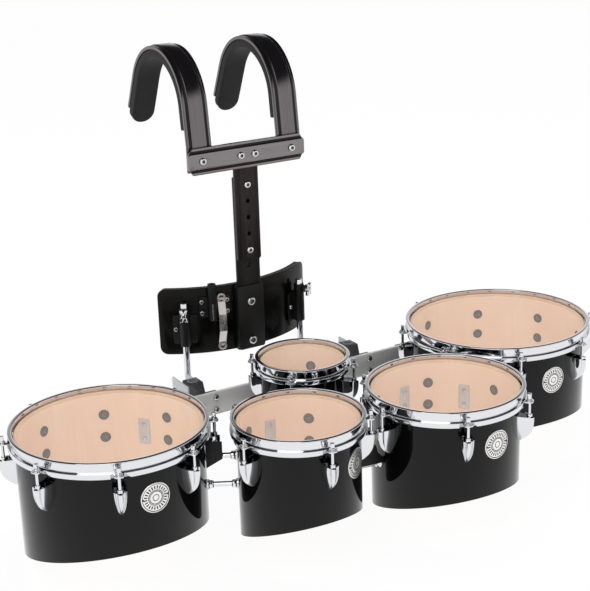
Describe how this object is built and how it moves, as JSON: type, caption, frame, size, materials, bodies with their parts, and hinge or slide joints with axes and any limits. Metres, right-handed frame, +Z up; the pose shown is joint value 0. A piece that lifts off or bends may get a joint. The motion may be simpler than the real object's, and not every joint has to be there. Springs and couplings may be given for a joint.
{
  "type": "marching tenor drums",
  "caption": "Marching tenor drums: tuned drums on one crossbar with slanted open bottoms, hung from a shoulder carrier with a belly plate.",
  "frame": {"origin": "the middle of the whole set's footprint, on the floor that the four larger drums stand on", "axes": "+Z up; +X along the crossbar to the right as seen from the front; -Y towards the audience, +Y towards the player"},
  "size_m": [1.164, 0.8394, 0.7697],
  "materials": {
    "shell_lacquer": "high gloss black lacquer over ply, with chromed lugs joined on",
    "head_film": "clear glossy film with a pale flesh hoop",
    "chrome_plate": "polished chrome",
    "bare_aluminium": "satin",
    "black_aluminium": "black powder coat",
    "black_anodised": "satin black anodised",
    "black_coated_steel": "black powder coat",
    "black_nylon": "matt",
    "grey_nylon": "smooth matt",
    "black_foam": "closed-cell foam"
  },
  "bodies": {
    "drum_frame": {"drum_12_shell": "shell_lacquer", "drum_8_shell": "shell_lacquer", "drum_6_shell": "shell_lacquer", "drum_10_shell": "shell_lacquer", "drum_13_shell": "shell_lacquer", "drum_12_head": "head_film", "drum_8_head": "head_film", "drum_6_head": "head_film", "drum_10_head": "head_film", "drum_13_head": "head_film", "crossbar": "bare_aluminium", "mount_block_12": "black_nylon", "mount_block_6": "black_nylon", "end_bracket_13": "black_coated_steel", "gusset_plate": "black_coated_steel", "bridge_plate": "black_coated_steel", "tie_rod_12_8_upper": "chrome_plate", "tie_rod_12_8_lower": "chrome_plate", "tie_rod_8_10_upper": "chrome_plate", "tie_rod_8_10_lower": "chrome_plate", "tie_rod_10_13_upper": "chrome_plate", "tie_rod_10_13_lower": "chrome_plate", "receiver_left": "black_aluminium", "receiver_bushing_left": "grey_nylon", "receiver_guide_left_a": "bare_aluminium", "receiver_guide_left_b": "bare_aluminium", "receiver_right": "black_aluminium", "receiver_bushing_right": "grey_nylon", "receiver_guide_right_a": "bare_aluminium", "receiver_guide_right_b": "bare_aluminium"},
    "drum_12_batter_hoop": {"drum_12_hoop": "chrome_plate"},
    "drum_8_batter_hoop": {"drum_8_hoop": "chrome_plate"},
    "drum_6_batter_hoop": {"drum_6_hoop": "chrome_plate"},
    "drum_10_batter_hoop": {"drum_10_hoop": "chrome_plate"},
    "drum_13_batter_hoop": {"drum_13_hoop": "chrome_plate"},
    "hook_rods": {"hook_rod_left": "chrome_plate", "hook_rod_right": "chrome_plate"},
    "carrier_base": {"belly_plate": "black_aluminium", "belly_pad": "black_foam", "rod_clamp_left": "black_aluminium", "rod_clamp_right": "black_aluminium", "centre_socket": "black_aluminium", "carry_loop": "chrome_plate", "column_bracket": "black_aluminium", "bracket_cover": "black_aluminium", "column_bar": "black_aluminium"},
    "t_bar_unit": {"column_strap": "black_anodised", "column_screw_lower": "chrome_plate", "column_screw_upper": "chrome_plate", "t_bar": "black_anodised", "t_bar_screw_left": "chrome_plate", "t_bar_screw_right": "chrome_plate", "pivot_screw_left": "chrome_plate", "pivot_screw_right": "chrome_plate"},
    "shoulder_left": {"shoulder_strap_left": "black_anodised", "shoulder_pad_left": "black_foam"},
    "wing_left": {"wing_screw_left": "chrome_plate"},
    "shoulder_right": {"shoulder_strap_right": "black_anodised", "shoulder_pad_right": "black_foam"},
    "wing_right": {"wing_screw_right": "chrome_plate"}
  },
  "joints": [
    {"name": "drum_12_hoop_tension", "type": "slide", "parent": "drum_frame", "child": "drum_12_batter_hoop", "axis": [0, 0, 1], "range_m": [0, 0.003]},
    {"name": "drum_8_hoop_tension", "type": "slide", "parent": "drum_frame", "child": "drum_8_batter_hoop", "axis": [0, 0, 1], "range_m": [0, 0.003]},
    {"name": "drum_6_hoop_tension", "type": "slide", "parent": "drum_frame", "child": "drum_6_batter_hoop", "axis": [0, 0, 1], "range_m": [0, 0.003]},
    {"name": "drum_10_hoop_tension", "type": "slide", "parent": "drum_frame", "child": "drum_10_batter_hoop", "axis": [0, 0, 1], "range_m": [0, 0.003]},
    {"name": "drum_13_hoop_tension", "type": "slide", "parent": "drum_frame", "child": "drum_13_batter_hoop", "axis": [0, 0, 1], "range_m": [0, 0.003]},
    {"name": "hook_lift", "type": "slide", "parent": "drum_frame", "child": "hook_rods", "axis": [0, 0, 1], "range_m": [-0.062, 0]},
    {"name": "clamp_height", "type": "slide", "parent": "hook_rods", "child": "carrier_base", "axis": [0, 0, 1], "range_m": [-0.05, 0.012]},
    {"name": "column_height", "type": "slide", "parent": "carrier_base", "child": "t_bar_unit", "axis": [0, 0, 1], "range_m": [-0.0313, 0.0626]},
    {"name": "shoulder_left_pivot", "type": "hinge", "parent": "t_bar_unit", "child": "shoulder_left", "pos_m": [-0.09188, 0.15961, 0.5735], "axis": [0, 1, 0], "range_deg": [-8, 8]},
    {"name": "shoulder_right_pivot", "type": "hinge", "parent": "t_bar_unit", "child": "shoulder_right", "pos_m": [0.09312, 0.15961, 0.5735], "axis": [0, 1, 0], "range_deg": [-8, 8]},
    {"name": "wing_left_turn", "type": "hinge", "parent": "carrier_base", "child": "wing_left", "pos_m": [-0.12488, 0.20178, 0.281], "axis": [-0.4745, -0.8803, 0], "continuous": true},
    {"name": "wing_right_turn", "type": "hinge", "parent": "carrier_base", "child": "wing_right", "pos_m": [0.12612, 0.20178, 0.281], "axis": [0.4745, -0.8803, 0], "continuous": true}
  ]
}
